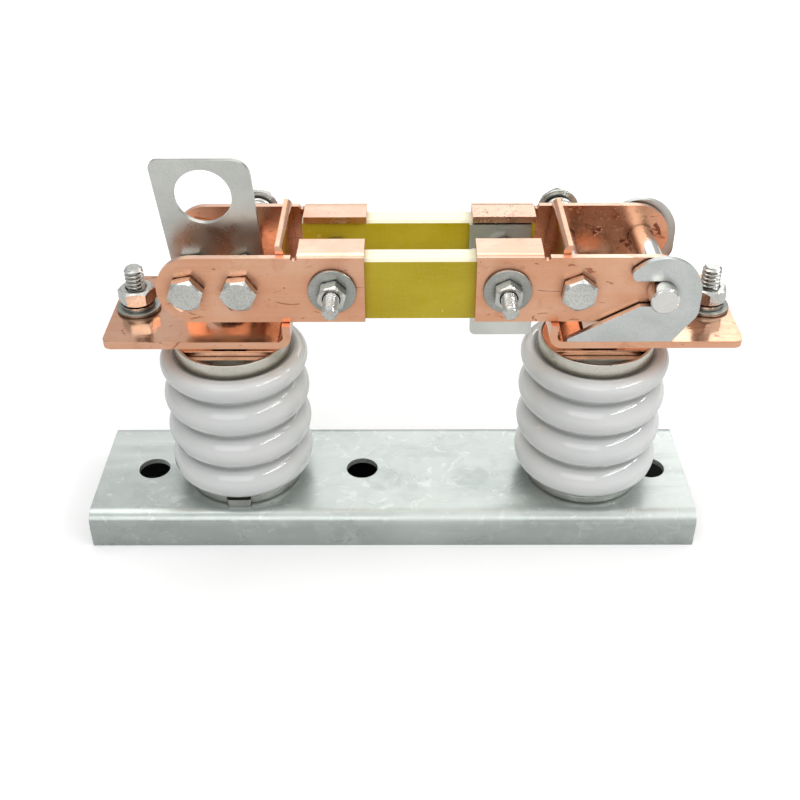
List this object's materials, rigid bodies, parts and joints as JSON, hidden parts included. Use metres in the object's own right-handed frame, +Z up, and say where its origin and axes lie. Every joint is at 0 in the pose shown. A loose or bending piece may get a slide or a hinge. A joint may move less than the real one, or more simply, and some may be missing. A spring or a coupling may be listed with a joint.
{
  "type": "knife-fuse switch",
  "caption": "Outdoor knife-fuse switch with twin copper blades and yellow insulating bars, pivoting in a hook bracket on ribbed white insulators over a galvanised channel base.",
  "frame": {"origin": "midway between the two outer fastening holes of the base channel, level with the underside of its web; the feet stand 18.5 mm below it", "axes": "+X along the base towards the hinge end, +Y from the front to the back, +Z up"},
  "size_m": [0.3485, 0.1266, 0.2175],
  "materials": {
    "galvanised_base": "hot-dip zinc, blotchy and scratched",
    "porcelain": "pale grey-white glaze, glossy",
    "cap_metal": "satin, bright lip",
    "cast_ring": "dull grey",
    "copper": "salmon copper, polished to satin",
    "epoxy_glass": "yellow epoxy glass, slightly glossy",
    "sheet_steel": "zinc plated sheet",
    "hardware_steel": "plated bolts and nuts"
  },
  "bodies": {
    "frame": {"base_channel": "galvanised_base", "hook_bracket": "sheet_steel", "left_backing_plate": "copper", "left_base_bolt": "hardware_steel", "left_base_ring": "cast_ring", "left_cap": "cap_metal", "left_fixing_bolt": "hardware_steel", "left_flat_washer": "hardware_steel", "left_insulator": "porcelain", "left_spacer": "hardware_steel", "left_spring_washer": "hardware_steel", "left_support_plate": "sheet_steel", "left_terminal": "copper", "left_terminal_nut": "hardware_steel", "left_terminal_stud": "hardware_steel", "right_backing_plate": "copper", "right_base_bolt": "hardware_steel", "right_base_ring": "cast_ring", "right_cap": "cap_metal", "right_fixing_bolt": "hardware_steel", "right_flat_washer": "hardware_steel", "right_insulator": "porcelain", "right_spacer": "hardware_steel", "right_spring_washer": "hardware_steel", "right_support_plate": "sheet_steel", "right_terminal": "copper", "right_terminal_nut": "hardware_steel", "right_terminal_stud": "hardware_steel"},
    "blade": {"front_contact_copper": "copper", "rear_contact_copper": "copper", "front_hinge_copper": "copper", "rear_hinge_copper": "copper", "front_insulating_bar": "epoxy_glass", "rear_insulating_bar": "epoxy_glass", "front_steel_plate": "sheet_steel", "rear_steel_plate": "sheet_steel", "pull_plate": "sheet_steel", "hinge_pin": "hardware_steel", "short_bolt": "hardware_steel", "long_bolt": "hardware_steel", "hinge_bolt": "hardware_steel", "pull_plate_nuts": "hardware_steel", "long_bolt_washers": "hardware_steel", "hinge_bolt_washers": "hardware_steel", "long_bolt_nut": "hardware_steel", "hinge_bolt_nut": "hardware_steel", "long_bolt_spring": "hardware_steel", "hinge_bolt_spring": "hardware_steel", "front_fuse_studs": "hardware_steel", "rear_fuse_studs": "hardware_steel", "front_fuse_washers": "hardware_steel", "rear_fuse_washers": "hardware_steel", "front_fuse_nuts": "hardware_steel", "rear_fuse_nuts": "hardware_steel"}
  },
  "joints": [
    {"name": "blade_swing", "type": "hinge", "parent": "frame", "child": "blade", "pos_m": [0.1285, 0, 0.1405], "axis": [0, 1, 0], "range_deg": [0, 110]}
  ]
}
